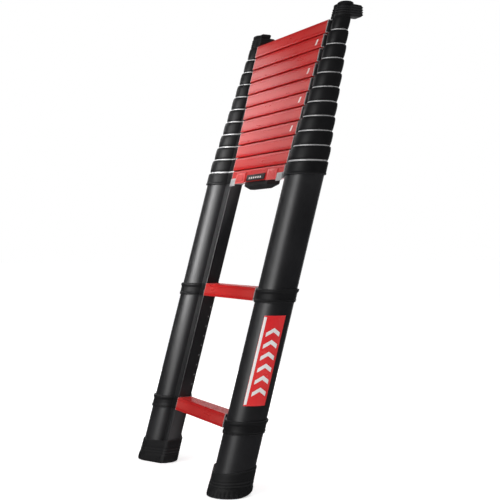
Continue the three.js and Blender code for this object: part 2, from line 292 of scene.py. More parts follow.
def stile_outline(measures, side, bead=0.0, corner=NOSE_CORNER, taut=False):
    """Points round a stile; a taut outline bridges the hollow in front of the rail."""
    radius, reach, front, back = measures
    start = tangent_angle(radius, reach, back)
    turn = tangent_angle(radius, reach, front) if taut else math.pi / 2
    end = 2 * math.pi - (turn if taut else math.asin(front / radius))
    centre_x = reach - corner
    points = []
    for step in range(ARC_STEPS + 1):
        angle = start + (end - start) * step / ARC_STEPS
        points.append((radius * math.cos(angle), radius * math.sin(angle)))
    face = radius if taut else front
    centre = (centre_x * math.cos(turn) + corner - face) / math.sin(turn)
    for distance, share in BEAD:
        along = corner * math.cos(turn) - distance * MM * math.sin(turn)
        down = corner * math.sin(turn) + distance * MM * math.cos(turn)
        lift = share * bead
        points.append((centre_x + along + lift * math.cos(turn), centre - down - lift * math.sin(turn)))
    for step in range(CORNER_STEPS + 1):
        share = 1 - step / CORNER_STEPS
        angle = -turn * share
        reached = corner + bead * BEAD_AT_CORNER * share
        points.append((centre_x + reached * math.cos(angle), centre + reached * math.sin(angle)))
    centre = (radius - corner - centre_x * math.cos(start)) / math.sin(start)
    for step in range(CORNER_STEPS + 1):
        angle = start * step / CORNER_STEPS
        points.append((centre_x + corner * math.cos(angle), centre + corner * math.sin(angle)))
    return [(side * (HALF_SPACING - inward), depth) for inward, depth in points]


def sleeve_rows(profile, side, bead=0.0):
    """Rows round the stile for a closed profile of (measures, height, bead share) points."""
    rows = []
    for measures, height, share in profile:
        rows.append([(x, y, height) for x, y in stile_outline(measures, side, bead * share)])
    return rows


def nose_flat(section):
    return HALF_SPACING - (NOSE_REACH - REACH_STEP * section)


# Materials


class Shader:
    """A Principled material and short ways to wire detail into it."""

    def __init__(self, name, colour, roughness, metallic=0.0):
        self.material = bpy.data.materials.new(name)
        self.material.use_nodes = True
        self.tree = self.material.node_tree
        self.out = self.tree.nodes["Principled BSDF"]
        self.out.inputs["Base Color"].default_value = (*colour, 1)
        self.out.inputs["Roughness"].default_value = roughness
        self.out.inputs["Metallic"].default_value = metallic
        self.place = self.tree.nodes.new("ShaderNodeTexCoord").outputs["Object"]

    def node(self, kind, **settings):
        made = self.tree.nodes.new(kind)
        for key, value in settings.items():
            setattr(made, key, value)
        return made

    def link(self, source, target):
        self.tree.links.new(source, target)

    def noise(self, scale, stretch=(1, 1, 1), turn=(0, 0, 0), detail=3.0, roughness=0.5):
        mapping = self.node("ShaderNodeMapping")
        mapping.inputs["Scale"].default_value = stretch
        mapping.inputs["Rotation"].default_value = turn
        self.link(self.place, mapping.inputs["Vector"])
        texture = self.node("ShaderNodeTexNoise")
        texture.inputs["Scale"].default_value = scale
        texture.inputs["Detail"].default_value = detail
        texture.inputs["Roughness"].default_value = roughness
        self.link(mapping.outputs["Vector"], texture.inputs["Vector"])
        return texture.outputs["Fac"]

    def ramp(self, value, low, high, dark, light):
        """Maps value from low..high to the range dark..light."""
        made = self.node("ShaderNodeMapRange")
        for name, number in (("From Min", low), ("From Max", high), ("To Min", dark), ("To Max", light)):
            made.inputs[name].default_value = number
        self.link(value, made.inputs["Value"])
        return made.outputs["Result"]

    def mix(self, share, first, second):
        made = self.node("ShaderNodeMix", data_type="RGBA")
        self.link(share, made.inputs["Factor"])
        for socket, colour in ((made.inputs["A"], first), (made.inputs["B"], second)):
            if isinstance(colour, tuple):
                socket.default_value = (*colour, 1)
            else:
                self.link(colour, socket)
        return made.outputs["Result"]

    def bump(self, heights, strength, distance=0.0002):
        """Chains one bump for each height value."""
        previous = None
        for height in heights:
            made = self.node("ShaderNodeBump")
            made.inputs["Strength"].default_value = strength
            made.inputs["Distance"].default_value = distance
            self.link(height, made.inputs["Height"])
            if previous:
                self.link(previous, made.inputs["Normal"])
            previous = made.outputs["Normal"]
        self.link(previous, self.out.inputs["Normal"])

    def edge_wear_and_highlight(self, low=0.52, high=0.62):
        """Bright on sharp outer edges: rubbed finish, and on the tubes and collars a painted highlight."""
        return self.ramp(self.node("ShaderNodeNewGeometry").outputs["Pointiness"], low, high, 0, 1)

    def colour(self, socket):
        self.link(socket, self.out.inputs["Base Color"])

    def roughness(self, socket):
        self.link(socket, self.out.inputs["Roughness"])


ALONG_STILE = (1, 1, 0.012)
ALONG_RUNG = (0.012, 1, 1)
TILT = (-LEAN, 0, 0)


def tube_material():
    """Satin black anodised extrusion: fine die lines along it, faint smudges across it."""
    shader = Shader("tube_black", (0.012, 0.012, 0.013), 0.36)
    lines = shader.noise(900, ALONG_STILE, TILT, 4)
    smudge = shader.noise(14, detail=5, roughness=0.6)
    specks = shader.noise(520, detail=1)
    smudged = shader.ramp(smudge, 0.35, 0.7, 0, 1)
    tone = shader.mix(smudged, (0.0050, 0.0050, 0.0058), (0.0095, 0.0095, 0.0105))
    dusty = shader.mix(shader.ramp(specks, 0.72, 0.8, 0, 0.5), tone, (0.05, 0.05, 0.05))
    # Painted highlight: the bead and the rims are lightened to stand in for the light line the bead catches.
    shader.colour(shader.mix(shader.edge_wear_and_highlight(0.54, 0.66), dusty, (0.07, 0.07, 0.072)))
    shader.roughness(shader.ramp(smudge, 0.3, 0.75, 0.37, 0.46))
    shader.bump([lines], 0.10, 0.00006)
    shader.out.inputs["Specular IOR Level"].default_value = 0.9
    return shader.material


def moulded_black(name, tone, roughness, grain, strength, specular=0.5):
    """Moulded plastic: spark-eroded grain, soft roughness drift, paler edges that are partly rubbed wear and
    partly a painted edge highlight.
    """
    shader = Shader(name, tone, roughness)
    fine = shader.noise(grain, detail=2)
    drift = shader.noise(30, detail=4)
    darker = tuple(0.75 * part for part in tone)
    lighter = tuple(1.25 * part for part in tone)
    # Paler edge tone: rubbed wear plus a painted highlight along the edges.
    rubbed = tuple(0.028 + 2 * part for part in tone)
    body = shader.mix(shader.ramp(drift, 0.3, 0.7, 0, 1), darker, lighter)
    shader.colour(shader.mix(shader.edge_wear_and_highlight(), body, rubbed))
    shader.roughness(shader.ramp(drift, 0.3, 0.7, roughness - 0.05, roughness + 0.07))
    shader.bump([fine], strength, 0.00012)
    shader.out.inputs["Specular IOR Level"].default_value = specular
    return shader.material


def rung_material():
    """Red coated extrusion: brushed lines along the rung, edges rubbed a little paler."""
    shader = Shader("rung_red", (0.50, 0.018, 0.018), 0.42)
    lines = shader.noise(700, ALONG_RUNG, detail=4)
    cloud = shader.noise(9, (0.6, 1, 1), detail=4)
    scuff = shader.noise(60, (0.15, 1, 1), detail=6, roughness=0.65)
    red = shader.mix(shader.ramp(cloud, 0.3, 0.72, 0, 1), (0.43, 0.008, 0.008), (0.53, 0.013, 0.012))
    worn = shader.mix(shader.ramp(scuff, 0.7, 0.85, 0, 0.16), red, (0.62, 0.09, 0.08))
    shader.colour(shader.mix(shader.edge_wear_and_highlight(0.53, 0.66), worn, (0.68, 0.14, 0.12)))
    shader.roughness(shader.ramp(scuff, 0.3, 0.8, 0.27, 0.30))
    shader.out.inputs["Specular IOR Level"].default_value = 0.25
    shader.bump([lines], 0.14, 0.00008)
    return shader.material


def metal_material(name, tone, roughness, stretch, metallic=1.0):
    """Bare metal with fine lines along the axes that stretch scales down."""
    shader = Shader(name, (tone, tone, tone * 1.01), roughness, metallic)
    lines = shader.noise(800, stretch, detail=4)
    cloud = shader.noise(45, detail=4)
    darker = (tone * 0.82,) * 3
    lighter = (tone * 1.1,) * 3
    shader.colour(shader.mix(shader.ramp(cloud, 0.3, 0.75, 0, 1), darker, lighter))
    shader.roughness(shader.ramp(lines, 0.3, 0.7, roughness - 0.08, roughness + 0.1))
    shader.bump([lines], 0.15, 0.00005)
    return shader.material


def film_material(name, dark, light, roughness=0.22):
    """Self-adhesive film: glossy, with the faint unevenness of a sheet pressed onto a tube."""
    shader = Shader(name, light, roughness)
    waves = shader.noise(70, (1, 1, 0.4), detail=2)
    cloud = shader.noise(25, detail=4)
    shader.colour(shader.mix(shader.ramp(cloud, 0.3, 0.7, 0, 1), dark, light))
    shader.roughness(shader.ramp(cloud, 0.3, 0.7, roughness - 0.03, roughness + 0.08))
    shader.bump([waves], 0.12, 0.0003)
    shader.out.inputs["Coat Weight"].default_value = 0.4
    shader.out.inputs["Coat Roughness"].default_value = 0.12
    return shader.material


def slide_material():
    """Red thumb-slide plastic with a fine mould grain and rubbed ridges."""
    shader = Shader("slide_red", (0.58, 0.02, 0.03), 0.32)
    fine = shader.noise(1100, detail=2)
    cloud = shader.noise(40, detail=3)
    red = shader.mix(shader.ramp(cloud, 0.3, 0.7, 0, 1), (0.52, 0.015, 0.02), (0.64, 0.03, 0.035))
    shader.colour(shader.mix(shader.edge_wear_and_highlight(), red, (0.75, 0.2, 0.18)))
    shader.roughness(shader.ramp(cloud, 0.3, 0.7, 0.28, 0.38))
    shader.bump([fine], 0.08, 0.0001)
    return shader.material


TUBE = tube_material()
# The collars' paler edges include a painted edge highlight.
COLLAR = moulded_black("collar_black", (0.0065, 0.0065, 0.007), 0.48, 1300, 0.16, 0.35)
CAP = moulded_black("cap_black", (0.0045, 0.0045, 0.005), 0.58, 1000, 0.2, 0.3)
RUBBER = moulded_black("rubber_black", (0.0055, 0.0055, 0.006), 0.6, 700, 0.32)
RUNG = rung_material()
RING = metal_material("ring_aluminium", 0.80, 0.55, (0.05, 0.05, 1), 0.55)
BRACKET = metal_material("bracket_aluminium", 0.60, 0.5, (0.05, 1, 1), 0.6)
# Pale rung ends: bare sawn aluminium, which also stands in as a painted highlight for the light line at the
# collar corner.
SAWN_END_AND_HIGHLIGHT = metal_material("sawn_end_and_highlight_metal", 0.62, 0.6, (1, 1, 0.1), 0.3)
PIN = metal_material("pin_steel", 0.5, 0.25, (1, 0.1, 0.1))
SPRING = metal_material("spring_wire", 0.55, 0.28, (1, 1, 1))
SLIDE = slide_material()
LABEL_RED = film_material("label_red", (0.70, 0.022, 0.025), (0.80, 0.04, 0.04))
LABEL_WHITE = film_material("label_white", (0.78, 0.76, 0.74), (0.88, 0.87, 0.86), 0.3)
TICK = film_material("tick_grey", (0.14, 0.14, 0.14), (0.20, 0.20, 0.20), 0.4)
MARK = film_material("mark_pale", (0.72, 0.62, 0.60), (0.85, 0.78, 0.76), 0.4)


# Tubes and collars


def tube_rows(section, bottom, top, side):
    """A tube with slightly rounded ends and its bead and groove."""
    bore = tube_section(section, -WALL)
    lip = tube_section(section, TUBE_EDGE - WALL)
    skin = tube_section(section)
    rim = tube_section(section, -TUBE_EDGE)
    rim_bead = 0.6
    profile = [
        (bore, bottom + TUBE_EDGE, 0),
        (lip, bottom, 0),
        (rim, bottom, rim_bead),
        (skin, bottom + TUBE_EDGE, 1),
        (skin, (bottom * 2 + top) / 3, 1),
        (skin, (bottom + top * 2) / 3, 1),
        (skin, top - TUBE_EDGE, 1),
        (rim, top, rim_bead),
        (lip, top, 0),
        (bore, top - TUBE_EDGE, 0),
    ]
    return sleeve_rows(profile, side, BEAD_LIFT)


# Collar outlines: (proud of the tube, rise from the rung's middle), both in millimetres
BARREL = [
    (2.2, -14.8), (3.0, -14.6), (3.3, -14.0), (3.4, -12.2), (3.9, -11.2), (4.15, -8), (4.35, -3),
    (4.4, 2), (4.3, 6), (4.05, 9.5), (3.6, 12), (3.0, 14.2), (2.4, 15.0), (1.6, 15.3),
]
CLAMP = [
    (1.6, -14.5), (2.3, -14.3), (2.7, -13.7), (2.8, -12.9), (2.4, -12.3), (2.3, -11.7), (2.9, -11),
    (3.3, -10.2), (3.3, -9.4), (2.7, -8.6), (2.2, -8), (2.1, -4), (2.1, 4), (2.3, 6), (3.4, 7.4),
    (4.2, 8.6), (4.4, 10), (4.4, 12), (4.2, 13.3), (3.6, 14.2), (2.6, 14.5),
]
LATCH = [
    (2.0, -14.5), (3.4, -14.4), (4.0, -13.8), (4.1, -12.6), (4.0, -11.2), (3.5, -10.2), (3.1, -9.6),
    (3.0, -6), (3.0, 6), (3.0, 11), (2.8, 13), (2.2, 14.2), (1.2, 14.5),
]


def collar_profile(section, bore, outline, height):
    """Closes a collar outline with the collar's bore."""
    path = [(bore, height + outline[0][1] * MM, 0)]
    for proud, rise in outline:
        inset = COLLAR_LIP_INSET if abs(rise * MM) > COLLAR_LIP else 0.0
        path.append((collar_section(section, proud * MM, inset), height + rise * MM, 0))
    path.append((bore, height + outline[-1][1] * MM, 0))
    return path


def spigot(build, rung, side):
    """The block that plugs the end of the hollow rung."""
    root = nose_flat(section_of(rung))
    x = sorted((side * (root - COLLAR_PROUD - SPIGOT_LENGTH), side * (root - WALL)))
    depth = (RUNG_FRONT + SPIGOT_INSET, RUNG_BACK - SPIGOT_INSET)
    height = HEIGHTS[rung]
    build.block(x, depth, (height - SPIGOT_HALF, height + SPIGOT_HALF), 0.0012)


def collar(rung, side_name, outline, nodes):
    side = SIDES[side_name]
    build = Build()
    section = section_of(rung)
    bore = tube_section(section, GAP if rung <= FIXED_RUNGS else HAIR_GAP)
    build.ring(sleeve_rows(collar_profile(section, bore, outline, HEIGHTS[rung]), side))
    spigot(build, rung, side)
    piece = build.make(f"collar_{rung:02d}_{side_name}", COLLAR, 40)
    place(piece, body_of_rung(rung), "collar_plastic", *nodes)


def base_tube(side_name):
    side = SIDES[side_name]
    node = f"base_tube_{side_name}"
    low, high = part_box(node)
    bare = high.z - BARE_END
    tube = Build().ring(tube_rows(0, low.z, bare, side))
    place(tube.make(f"stile_base_{side_name}", TUBE), "base", "tube_paint", node)
    ring = Build().ring(tube_rows(0, bare + HAIR_GAP, high.z, side))
    place(ring.make(f"bare_end_base_{side_name}", RING), "base", "bare_metal", node)


def moving_stile(rung, side_name):
    side = SIDES[side_name]
    node = f"stile_{rung:02d}_{side_name}"
    body = body_of_rung(rung)
    section = section_of(rung)
    low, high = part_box(node)
    bare = high.z - BARE_END if rung < TOTAL_RUNGS else high.z
    tube = Build().ring(tube_rows(section, low.z, bare, side))
    place(tube.make(f"tube_{rung:02d}_{side_name}", TUBE), body, "tube_paint", node)
    if rung < TOTAL_RUNGS:
        ring = Build().ring(tube_rows(section, bare + HAIR_GAP, high.z, side))
        place(ring.make(f"bare_end_{rung:02d}_{side_name}", RING), body, "bare_metal", node)
    collar(rung, side_name, BARREL, [node])


# Rungs


def quarter_round(depth, rise, radius, start, steps):
    """Points a quarter turn round the centre (depth, rise), from a start counted in quarter turns."""
    points = []
    for step in range(steps + 1):
        angle = math.pi / 2 * (start + step / steps)
        points.append((depth + radius * math.cos(angle), rise + radius * math.sin(angle)))
    return points


def tread_grooves(back, front):
    """The grooved top of the tread, from back to front."""
    half = GROOVE_WIDTH / 2
    floor = half * 0.55
    points = []
    for groove in range(GROOVES):
        middle = back - (back - front) * (groove + 0.5) / GROOVES
        points += [
            (middle + half, RUNG_HALF),
            (middle + floor, RUNG_HALF - GROOVE_DEPTH),
            (middle - floor, RUNG_HALF - GROOVE_DEPTH),
            (middle - half, RUNG_HALF),
        ]
    return points


def rung_outline():
    """The rung's outer section as (depth, rise) points: grooved tread, lined front, round back."""
    back = RUNG_BACK - RUNG_BACK_ROUND
    front = RUNG_FRONT + RUNG_FRONT_ROUND
    back_rise = RUNG_HALF - RUNG_BACK_ROUND
    front_rise = RUNG_HALF - RUNG_FRONT_ROUND
    points = quarter_round(back, -back_rise, RUNG_BACK_ROUND, -1, 8)
    points += quarter_round(back, back_rise, RUNG_BACK_ROUND, 0, 8)
    points += tread_grooves(back - 0.001, RUNG_FRONT + 0.003)
    points += quarter_round(front, front_rise, RUNG_FRONT_ROUND, 1, 5)
    for rise in FRONT_LINES:
        points += [
            (RUNG_FRONT, rise + 0.0005),
            (RUNG_FRONT + FRONT_LINE_DEPTH, rise + 0.0002),
            (RUNG_FRONT + FRONT_LINE_DEPTH, rise - 0.0002),
            (RUNG_FRONT, rise - 0.0005),
        ]
    points += quarter_round(front, -front_rise, RUNG_FRONT_ROUND, 2, 5)
    return points


def rung_end(rung):
    """How far a rung reaches from the middle of the ladder."""
    return nose_flat(section_of(rung)) - COLLAR_PROUD - GAP


def rung_rows(rung, start, end):
    """A hollow length of rung between two distances from the middle of the ladder."""
    height = HEIGHTS[rung]
    outline = rung_outline()
    middle_depth = (RUNG_FRONT + RUNG_BACK) / 2
    inner = []
    for depth, rise in outline:
        inward = min(RUNG_WALL, abs(depth - middle_depth))
        inner_depth = depth + math.copysign(inward, middle_depth - depth)
        inner_rise = rise - math.copysign(min(RUNG_WALL, abs(rise)), rise)
        inner.append((inner_depth, inner_rise))
    rows = []
    for shape, shares in ((outline, (0, 0.01, 0.3, 0.7, 0.99, 1)), (inner, (1, 0.7, 0.3, 0))):
        for share in shares:
            across = start + (end - start) * share
            rows.append([(across, depth, height + rise) for depth, rise in shape])
    return rows


def rung(number):
    node = f"rung_{number:02d}"
    body = body_of_rung(number)
    end = rung_end(number)
    cut = end - PALE_END_LENGTH
    tread = Build().ring(rung_rows(number, -cut, cut))
    place(tread.make(f"tread_{number:02d}", RUNG, 28), body, "rung_red", node)
    # The pale ends are the bare cut edge and also a painted highlight beside the collar.
    ends = Build()
    ends.ring(rung_rows(number, -end, -cut - HAIR_GAP / 2))
    ends.ring(rung_rows(number, cut + HAIR_GAP / 2, end))
    place(ends.make(f"tread_ends_{number:02d}", SAWN_END_AND_HIGHLIGHT, 28), body, "bare_metal", node)


def slanted_mark(number):
    """A small pale slanted bar near the right end of a tread's face."""
    height = HEIGHTS[number]
    middle = rung_end(number) - MARK_FROM_END

    def slant(corner, share):
        return (corner[0] + MARK_SLANT * (share[2] - 0.5), corner[1], corner[2])

    build = Build().block(
        (middle - MARK_HALF_WIDTH, middle + MARK_HALF_WIDTH),
        (RUNG_FRONT - 0.00035, RUNG_FRONT + 0.0001),
        (height - MARK_HALF_HEIGHT, height + MARK_HALF_HEIGHT),
        0.0001,
        1,
        slant,
    )
    place(build.make(f"mark_{number:02d}", MARK), body_of_rung(number), "label_red")


# Feet

# Up the toothed sole: (height and flare in millimetres, share of the teeth's depth)
SOLE_LEVELS = [
    (0.0, -2.2, 0), (0.8, -0.4, 0), (2.5, 0.7, 0.6), (6.5, 0.9, 1), (11.5, 0.8, 1), (15.0, 0.4, 0.7),
    (17.0, 0.0, 0.15), (18.0, -0.4, 0),
]


def boot_levels():
    """(height, proud) in millimetres up the boot's wall, which has three grooves round it."""
    levels = [(18.6, 4.0), (20.5, 3.8)]
    for groove in range(3):
        start = 21.2 + 6 * groove
        floor = 3.1 - 0.2 * groove
        levels += [(start, floor), (start + 1.4, floor)]
        if groove < 2:
            levels += [(start + 2.1, floor + 0.6), (start + 5.3, floor + 0.5)]
    return levels + [(35.3, 3.2), (42.0, 3.0), (48.0, 2.9)]


def boot_outline(proud, side, corner=BOOT_CORNER):
    """The boot is fuller than the rail inside it, and rounded at its inner end."""
    radius, reach = tube_section(0, proud)[:2]
    return stile_outline((radius, reach, BOOT_FRONT, BOOT_BACK), side, 0.0, corner, True)


def rim_rise(depth, height, top):
    """The boot's upper edge stands higher towards the wall side."""
    return (height / top) ** 2 * (RIM_RISE + RIM_TILT * depth / TUBE_RADIUS)


def heel_lift(depth, height):
    """The sole curls up towards the wall side."""
    share = max(0.0, depth / TUBE_RADIUS)
    return HEEL_LIFT * share ** 1.6 * max(0.0, 1 - height / HEEL_HEIGHT)


def foot(side_name):
    """Rubber boot: a cup with fine ridges, a flared sole and vertical teeth round its edge."""
    side = SIDES[side_name]
    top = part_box(f"foot_{side_name}")[1].z
    rows = []
    for level, flare, depth in SOLE_LEVELS:
        height = level * MM
        proud = SOLE_PROUD + flare * MM
        crest = boot_outline(proud, side, SOLE_CORNER)
        valley = boot_outline(proud - TOOTH_DEPTH * depth, side, SOLE_CORNER)
        row = [pair[0] if index % 3 else pair[1] for index, pair in enumerate(zip(crest, valley))]
        rows.append([(x, y, height + heel_lift(y, height)) for x, y in row])
    outside = [(level * MM, proud) for level, proud in boot_levels()]
    outside += [(top - 0.0012, 2.8), (top - 0.0004, 2.5), (top, 1.9)]
    inside = [(top, 0.4), (top - 0.001, 0.3), (BOOT_BORE_FLOOR, 0.3)]
    walls = [(height, boot_outline(proud * MM, side)) for height, proud in outside]
    for height, proud in inside:
        walls.append((height, stile_outline(tube_section(0, proud * MM), side, taut=True)))
    for height, outline in walls:
        rows.append([(x, y, height + rim_rise(y, height, top)) for x, y in outline])
    build = Build().capped(rows)
    place(build.make(f"boot_{side_name}", RUBBER, 30), "base", "rubber", f"foot_{side_name}")


# Wall caps


def cap_section(proud, inset):
    radius, reach, _, back = collar_section(section_of(TOTAL_RUNGS), proud, inset)
    return radius, reach, CAP_FRONT - inset, back


def cap_levels(bottom):
    """(height, proud, inset) up the cap's ribs and dome; proud and inset are in millimetres."""
    levels = [(bottom, 1.2, 0.8), (bottom + 0.0007, 2.0, 0.3), (bottom + 0.002, 2.3, 0.1)]
    for rib in range(CAP_RIBS):
        start = bottom + 0.0035 + rib * CAP_RIB_PITCH
        levels += [(start, 2.9, 0), (start + 0.0030, 2.9, 0)]
        levels += [(start + 0.0036, 1.7, 0.9), (start + 0.0047, 1.7, 0.9)]
    levels += [(CAP_TOP - 0.0042, 2.3, 0.2), (CAP_TOP - 0.0024, 0.8, 1.6)]
    levels += [(CAP_TOP - 0.0009, -2.0, 4.0), (CAP_TOP, -7.0, 8.0)]
    return levels


def arm_block(build, x, front, heights, bevel, segments, past=0.0, lifts=(0, 0)):
    """A block of the arm that ends past the wall plane; lifts raise its lower and upper front edges."""

    def shape(corner, share):
        across, depth, height = corner
        if share[1] > 0.5:
            return (across, PAD_FACE + past - height * SLOPE, height)
        return (across, depth, height + lifts[1 if share[2] > 0.5 else 0])

    build.block(x, (front, PAD_FACE), heights, bevel, segments, shape)


def wall_cap(side_name):
    """Ribbed cap over the top tube, with its arm running back to the wall."""
    side = SIDES[side_name]
    rows = []
    for height, proud, inset in cap_levels(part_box(f"wall_cap_{side_name}")[0].z):
        outline = stile_outline(cap_section(proud * MM, inset * MM), side)
        rows.append([(x, y, height) for x, y in outline])
    build = Build().capped(rows)
    low, high = sorted((side * (HALF_SPACING - ARM_HALF_WIDTH), side * (HALF_SPACING + ARM_HALF_WIDTH)))
    inside = (low + 0.0005, high - 0.0005)
    arm_block(build, inside, 0, (PAD_BOTTOM, PAD_TOP), bevel=0.0045, segments=4, lifts=(0, 0.002))
    for rib in range(CAP_RIBS):
        height = PAD_BOTTOM + 0.0025 + rib * PAD_RIB_PITCH
        heights = (height, height + PAD_RIB_HEIGHT)
        arm_block(build, (low, high), 0.001, heights, 0.0008, 2, past=0.0002, lifts=(0.0015, 0.0015))
    place(build.make(f"cap_{side_name}", CAP, 40), "section_13", "cap_plastic", f"wall_cap_{side_name}")


# Release latch, in front of and below the third rung

LATCH_BACK = RUNG_FRONT - GAP
LATCH_FRONT = LATCH_BACK - 0.0024
PLATE_HALF_LENGTH = 0.05
PLATE_RIM = 0.004
LATCH_TICKS = 6
LATCH_TICK_PITCH = 0.012
SLIDE_INNER = 0.0615
SLIDE_OUTER = 0.112
SLIDE_ARM = (0.086, 0.094)
SLIDE_ARM_BACK = 0.0093
RIDGES = 5
RIDGE_START = 0.073
RIDGE_PITCH = 0.007
RIDGE_HALF = 0.0016
RIDGE_PROUD = 0.0014
BRACKET_INNER = 0.1135
BRACKET_BACK = 0.0123
BRACKET_TOP = -0.01465
BRACKET_THICKNESS = 0.0016
PIN_DEPTH = 0.00275
PIN_DROP = 0.0015
SPRING_TURNS = 5
SPRING_RADIUS = 0.0054
WIRE_RADIUS = 0.0006


def at_latch(low, high):
    """A pair of heights given from the middle of the third rung."""
    return (LATCH_HEIGHT + low, LATCH_HEIGHT + high)


def latch_plate():
    build = Build()
    half = PLATE_HALF_LENGTH
    panel = half - PLATE_RIM
    build.block((-half, half), (LATCH_FRONT, LATCH_BACK), at_latch(-0.0142, 0.0007), 0.0009, 3)
    build.block((-panel, panel), (LATCH_FRONT - 0.0004, LATCH_BACK), at_latch(-0.0125, -0.001), 0.0004)
    place(build.make("latch_cover", COLLAR, 40), "base", "collar_plastic", "latch_plate")
    ticks = Build()
    depth = (LATCH_FRONT - 0.0006, LATCH_FRONT)
    for tick in range(LATCH_TICKS):
        x = (tick - (LATCH_TICKS - 1) / 2) * LATCH_TICK_PITCH
        ticks.block((x - 0.003, x + 0.003), depth, at_latch(-0.0095, -0.005), 0.0002, 1)
    place(ticks.make("latch_ticks", MARK), "base", "collar_plastic")


GRIP_FRONT = -0.013
GRIP_BACK = 0.020
GRIP_DROP = 0.035
GRIP_HALF_LENGTH = 0.062
GRIP_CHAMFER = 0.009
GRIP_EDGE = 0.0012
GRIP_GROOVES = 8
GRIP_GROOVE_START = 0.036
GRIP_GROOVE_PITCH = 0.0103
GRIP_GROOVE_HALF = 0.004
GRIP_GROOVE_SHARE = 0.93


def grip_row(x, drop_share):
    """The grip's section at one place along it; drop_share below 1 lifts its underside."""
    top = LATCH_HEIGHT - RUNG_HALF - GAP
    bottom = LATCH_HEIGHT - GRIP_DROP + GRIP_CHAMFER * (1 - drop_share)
    corner = GRIP_CHAMFER * drop_share + 0.0004
    edge = GRIP_EDGE
    near = edge * 0.3
    outline = [
        (GRIP_FRONT + edge, top), (GRIP_FRONT + near, top - near), (GRIP_FRONT, top - edge),
        (GRIP_FRONT, bottom + corner + edge), (GRIP_FRONT + near, bottom + corner - near),
        (GRIP_FRONT + corner - near, bottom + near), (GRIP_FRONT + corner + edge, bottom),
        (GRIP_BACK - corner - edge, bottom), (GRIP_BACK - corner + near, bottom + near),
        (GRIP_BACK - near, bottom + corner - near), (GRIP_BACK, bottom + corner + edge),
        (GRIP_BACK, top - edge), (GRIP_BACK - near, top - near), (GRIP_BACK - edge, top),
    ]
    return [(x, depth, height) for depth, height in outline]


def carry_grip():
    half = GRIP_HALF_LENGTH
    stations = [(half, 0.0), (half - 2 * GRIP_CHAMFER, 1.0)]
    floor_half = GRIP_GROOVE_HALF - 0.0008
    for groove in range(GRIP_GROOVES):
        middle = GRIP_GROOVE_START - groove * GRIP_GROOVE_PITCH
        stations += [(middle + GRIP_GROOVE_HALF, 1.0), (middle + floor_half, GRIP_GROOVE_SHARE)]
        stations += [(middle - floor_half, GRIP_GROOVE_SHARE), (middle - GRIP_GROOVE_HALF, 1.0)]
    stations += [(2 * GRIP_CHAMFER - half, 1.0), (-half, 0.0)]
    rows = [grip_row(x, share) for x, share in stations]
    place(Build().capped(rows).make("grip_body", CAP, 30), "base", "cap_plastic", "carry_grip")


def release_slide(side_name):
    side = SIDES[side_name]
    low, high = at_latch(-0.0175, 0.0085)
    build = Build()
    plate = sorted((side * SLIDE_INNER, side * SLIDE_OUTER))
    build.block(plate, (LATCH_FRONT, LATCH_BACK), (low, high), 0.0009, 3)
    depth = (LATCH_FRONT - RIDGE_PROUD, LATCH_FRONT + 0.001)
    for ridge in range(RIDGES):
        x = side * (RIDGE_START + ridge * RIDGE_PITCH)
        build.block((x - RIDGE_HALF, x + RIDGE_HALF), depth, (low + 0.004, high - 0.004))
    arm = sorted(side * across for across in SLIDE_ARM)
    build.block(arm, (LATCH_BACK - 0.001, SLIDE_ARM_BACK), at_latch(-0.0055, 0.0025))
    body = f"release_{side_name}"
    place(build.make(f"thumb_slide_{side_name}", SLIDE, 40), body, "slide_red", f"release_slide_{side_name}")


def end_bracket(side_name):
    side = SIDES[side_name]
    node = f"end_bracket_{side_name}"
    x = sorted((side * BRACKET_INNER, side * (nose_flat(0) - COLLAR_PROUD - 0.001)))
    foot_heights = at_latch(BRACKET_TOP - BRACKET_THICKNESS, BRACKET_TOP)
    build = Build()
    build.block(x, (LATCH_BACK - BRACKET_THICKNESS, LATCH_BACK), at_latch(-0.022, -0.003), 0.0004)
    build.block(x, (LATCH_BACK - 0.001, BRACKET_BACK), foot_heights, 0.0004)
    place(build.make(f"angle_bracket_{side_name}", BRACKET, 40), "base", "bare_metal", node)


def return_spring(side_name):
    side = SIDES[side_name]
    low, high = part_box(f"return_spring_{side_name}")
    inner, outer = sorted((abs(low.x), abs(high.x)))
    start = inner + WIRE_RADIUS + HAIR_GAP
    length = outer - inner - 2 * (WIRE_RADIUS + HAIR_GAP)
    steps = SPRING_TURNS * 24
    rows = []
    for step in range(steps + 1):
        angle = step / steps * SPRING_TURNS * 2 * math.pi
        x = start + length * step / steps
        row = []
        for spoke in range(8):
            turn = spoke / 8 * 2 * math.pi
            reach = SPRING_RADIUS + WIRE_RADIUS * math.cos(turn)
            row.append((
                side * (x + WIRE_RADIUS * math.sin(turn)),
                PIN_DEPTH + reach * math.cos(angle),
                LATCH_HEIGHT - PIN_DROP + reach * math.sin(angle),
            ))
        rows.append(row)
    piece = Build().capped(rows).make(f"coil_spring_{side_name}", SPRING, 80)
    place(piece, "base", "spring_steel", f"return_spring_{side_name}")


# Label on the right-hand tube, ticks on the left-hand one

FILM = 0.00035
PRINT = 0.0001
CHEVRONS = 6
CHEVRON_RISE = 0.010
CHEVRON_WIDTH = 0.009
CHEVRON_FACE = 0.00012
CHEVRON_SEAT = 0.00001
TICKS = 9
TICK_DEPTH = (0.0125, 0.0155)
TICK_HALF = 0.0015


def on_tube(radius, angle, height):
    turn = math.radians(angle)
    return (HALF_SPACING + radius * math.cos(turn), radius * math.sin(turn), height)


